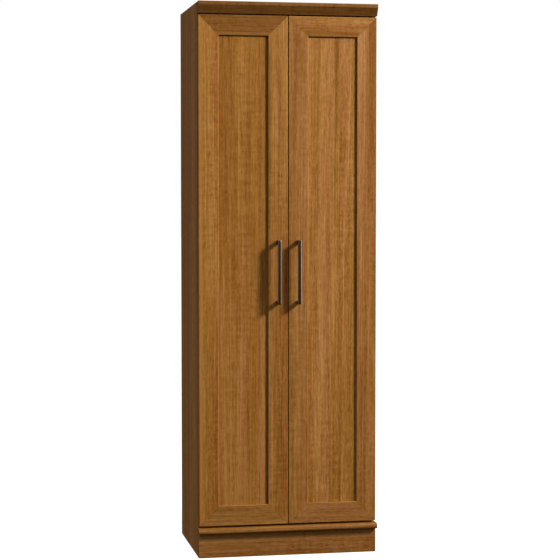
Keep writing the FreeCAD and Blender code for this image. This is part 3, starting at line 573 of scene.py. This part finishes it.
def pegOf(corners):  # the axis towards the head, the place of the head's foot, and the sizes of a screw
    low = Vector([min(c[i] for c in corners) for i in range(3)])
    high = Vector([max(c[i] for c in corners) for i in range(3)])
    along = max(range(3), key=lambda i: high[i] - low[i])
    middle = (low + high) / 2
    axis = Vector([float(i == along) for i in range(3)])
    reach = [((c - middle) - axis * (c - middle).dot(axis)).length for c in corners]
    headRadius = max(reach)
    heads = [c[along] for c, r in zip(corners, reach) if r > pegShares["rim"] * headRadius]
    sign = 1 if sum(heads) / len(heads) > middle[along] else -1
    headFoot, headTop = (min(heads), max(heads)) if sign > 0 else (max(heads), min(heads))
    foot = middle.copy()
    foot[along] = headFoot
    tip = low[along] if sign > 0 else high[along]
    return {
        "axis": axis * sign,
        "foot": foot,
        "headRadius": headRadius,
        "headHeight": abs(headTop - headFoot),
        "shankRadius": min(r for r in reach if r > pegShares["axis"] * headRadius),
        "length": abs(headFoot - tip),
    }


screwLook = {
    "steps": 20,
    "domeSteps": 4,
    "rimShare": 0.25,  # of the head's height, where its dome starts
    "mouth": 0.62,  # of the head's radius, where the dome ends round the recess
    "arm": 0.52,  # of the head's radius, half the length of the cross's arms
    "half": 0.13,  # and half their width
    "depth": 0.7,  # of the head's height
    "floor": 0.72,  # the size of the recess's floor against its mouth
    "pointRadius": 0.35,  # of the shank's radius, as are the next two
    "pointHeight": 0.3,
    "taper": 2,
}


def lathe(form, profile, steps):
    verts = [form.verts.new((radius, 0, height)) for radius, height in profile]
    edges = [form.edges.new(pair) for pair in zip(verts, verts[1:])]
    bmesh.ops.spin(form, geom=verts + edges, cent=(0, 0, 0), axis=(0, 0, 1), angle=math.tau, steps=steps,
                   use_merge=True)
    bmesh.ops.remove_doubles(form, verts=form.verts, dist=meshLook["mergeLathe"])


def pegProfile(peg, mouth):  # from the point up the shank and over the dome to its mouth
    look = screwLook
    head, tall, shank, length = peg["headRadius"], peg["headHeight"], peg["shankRadius"], peg["length"]
    profile = [(0, -length), (shank * look["pointRadius"], -length + shank * look["pointHeight"]),
               (shank, -length + shank * look["taper"]), (shank, 0), (head, 0)]
    last = math.acos(mouth)
    for i in range(look["domeSteps"] + 1):
        turn = last * i / look["domeSteps"]
        rise = look["rimShare"] + (1 - look["rimShare"]) * math.sin(turn) / math.sin(last)
        profile.append((head * math.cos(turn), tall * rise))
    return profile


def addPeg(form, peg, crossed):  # a screw or nail with a domed head
    single = bmesh.new()
    lathe(single, pegProfile(peg, screwLook["mouth"] if crossed else 0.0), screwLook["steps"])
    if crossed:
        addCross(single, peg["headRadius"], peg["headHeight"])
    turn = peg["axis"].to_track_quat("Z", "Y").to_matrix().to_4x4()
    bmesh.ops.transform(single, matrix=Matrix.Translation(peg["foot"]) @ turn, verts=single.verts)
    mesh = bpy.data.meshes.new("single")
    single.to_mesh(mesh)
    single.free()
    form.from_mesh(mesh)
    bpy.data.meshes.remove(mesh)


def addCross(form, radius, top):  # a cross recess inside the open rim of a head
    look = screwLook
    arm, half = radius * look["arm"], radius * look["half"]
    rim = [edge for edge in form.edges if edge.is_boundary]
    corners = []
    for quarter in range(4):
        turn = Matrix.Rotation(quarter * math.pi / 2, 3, "Z")
        for at in ((arm, -half, top), (arm, half, top), (half, half, top)):
            corners.append(form.verts.new(turn @ Vector(at)))
    outline = [form.edges.new((corners[i - 1], corners[i])) for i in range(len(corners))]
    bmesh.ops.bridge_loops(form, edges=rim + outline)
    walls = bmesh.ops.extrude_edge_only(form, edges=outline)["geom"]
    foot = [part for part in walls if isinstance(part, bmesh.types.BMVert)]
    bmesh.ops.translate(form, verts=foot, vec=(0, 0, -top * look["depth"]))
    bmesh.ops.scale(form, verts=foot, vec=(look["floor"], look["floor"], 1))
    footEdges = [part for part in walls if isinstance(part, bmesh.types.BMEdge)]
    bmesh.ops.contextual_create(form, geom=footEdges)


def makePegs(node, crossed=True):
    form = bmesh.new()
    for corners in solidsOf(node):
        addPeg(form, pegOf(corners), crossed)
    newPiece(node + "_domed", form, node)


for node in ("crown_screws", "plinth_screws", "hinge_arm_screws", "hinge_plate_screws",
             "left_hinge_cup_screws", "right_hinge_cup_screws",
             "left_door_handle_screws", "right_door_handle_screws"):
    makePegs(node)
makePegs("back_nails", crossed=False)
print("screws and nails modelled")


roundLook = {"segments": 2, "profile": 0.5, "flatUnder": math.radians(1), "sharpOver": math.radians(30)}
roundedBy = {  # the radius of each node's rounded edges, in millimetres
    "left_door_handle": 0.6,
    "right_door_handle": 0.6,
    "hinge_arms": 0.25,
    "hinge_plates": 0.3,
    "left_hinge_cups": 0.2,
    "right_hinge_cups": 0.2,
    "left_hinge_links": 0.3,
    "right_hinge_links": 0.3,
    "shelf_pins": 0.5,
    "left_door_bumpers": 0.6,
    "right_door_bumpers": 0.6,
}


def soften(node, radius):  # a copy of a node with its edges rounded
    look = roundLook
    form = copyOf(node)
    bmesh.ops.dissolve_limit(form, angle_limit=look["flatUnder"], verts=form.verts, edges=form.edges)
    edges = [edge for edge in form.edges if len(edge.link_faces) == 2
             and edge.calc_face_angle() > look["sharpOver"]]
    bmesh.ops.bevel(form, geom=edges, offset=radius, offset_type="OFFSET", segments=look["segments"],
                    profile=look["profile"], affect="EDGES", clamp_overlap=True, material=-1)
    newPiece(node + "_rounded", form, node)


for node, radius in roundedBy.items():
    soften(node, radius * mm)
print("handles, hinges and pins rounded")


# Floor, light and camera

studio = {
    "floorHalf": 40,
    "floorGlow": 0.86,
    "floorColour": 0.40,
    "floorRoughness": 0.9,
    "keyPlace": (3.68, -2.58, 3.60),
    "keyTarget": (0.0, -0.22, 0.93),
    "keyWidth": 0.99,
    "keyPower": 354.0,
    "skyBase": 0.05,
    "groundShare": 0.45,  # of the sky's light, below the fade
    "groundFade": (-0.35, 0.1),
    "skyLobes": (  # azimuth from the doors' normal, height, strength, spread
        (-98, 15, 0.70, 45),
        (-20, 65, 0.62, 65),
        (76, 0, 3.00, 33),
        (122, 30, 0.50, 45),
        (180, 50, 0.90, 42),
    ),
}


def makeFloor():
    mesh = bpy.data.meshes.new("floor")
    form = bmesh.new()
    bmesh.ops.create_grid(form, x_segments=1, y_segments=1, size=studio["floorHalf"])
    form.to_mesh(mesh)
    form.free()
    floor = bpy.data.objects.new("floor", mesh)
    bpy.context.scene.collection.objects.link(floor)
    paint = Paint("floor")
    grey = studio["floorColour"]
    glow = studio["floorGlow"]
    mesh.materials.append(paint.principled(
        Base_Color=(grey, grey, grey, 1), Roughness=studio["floorRoughness"], Specular_IOR_Level=0.0,
        Emission_Color=(glow, glow, glow, 1), Emission_Strength=1.0))
    floor.visible_diffuse = False
    floor.visible_glossy = False
    floor.visible_shadow = False


def aim(azimuth, height):  # azimuth 0 stands in front of the doors, 90 to the right
    turn, rise = math.radians(azimuth), math.radians(height)
    return Vector((math.sin(turn) * math.cos(rise), -math.cos(turn) * math.cos(rise), math.sin(rise)))


def makeSky():
    world = bpy.data.worlds.new("studio")
    bpy.context.scene.world = world
    paint = Paint("studio", world)
    direction = paint.add("TexCoord", output="Generated")
    glow = studio["skyBase"]
    for azimuth, height, strength, spread in studio["skyLobes"]:
        towards = paint.add("VectorMath", {"operation": "DOT_PRODUCT"},
                            {0: direction, 1: aim(azimuth, height)}, "Value")
        glow = paint.between(towards, math.cos(math.radians(spread)), 1.0, 0.0, strength) + glow
    up = paint.split(direction)[2]
    glow = glow * paint.between(up, *studio["groundFade"], studio["groundShare"], 1.0)
    light = paint.add("Background", {}, {"Color": (1, 1, 1, 1), "Strength": glow})
    backdrop = paint.add("Background", {}, {"Color": (1, 1, 1, 1), "Strength": 1.0})
    seen = paint.add("LightPath", output="Is Camera Ray")
    paint.join(paint.add("MixShader", {}, {0: seen, 1: light, 2: backdrop}), "OutputWorld")


def makeKey():
    data = bpy.data.lights.new("key", "AREA")
    data.shape = "DISK"
    data.size = studio["keyWidth"]
    data.energy = studio["keyPower"]
    lamp = bpy.data.objects.new("key", data)
    bpy.context.scene.collection.objects.link(lamp)
    lamp.location = studio["keyPlace"]
    away = Vector(studio["keyPlace"]) - Vector(studio["keyTarget"])
    lamp.rotation_euler = away.to_track_quat("Z", "Y").to_euler()


cameraLook = {
    "place": (-1.0771, -5.6668, 1.1886),
    "turn": 10.864,  # degrees to the right of the doors' normal
    "dip": 2.884,  # degrees below the level
    "lens": 109.73,
    "sensor": 36.0,
    "clipEnd": 100,
}


def makeCamera():
    look = cameraLook
    data = bpy.data.cameras.new("camera")
    data.lens = look["lens"]
    data.sensor_width = look["sensor"]
    data.clip_end = look["clipEnd"]
    camera = bpy.data.objects.new("camera", data)
    bpy.context.scene.collection.objects.link(camera)
    camera.location = look["place"]
    camera.rotation_euler = (math.radians(90 - look["dip"]), 0, math.radians(-look["turn"]))
    bpy.context.scene.camera = camera


makeFloor()
makeSky()
makeKey()
makeCamera()
bpy.context.scene.view_settings.view_transform = "Standard"
print("stage set")
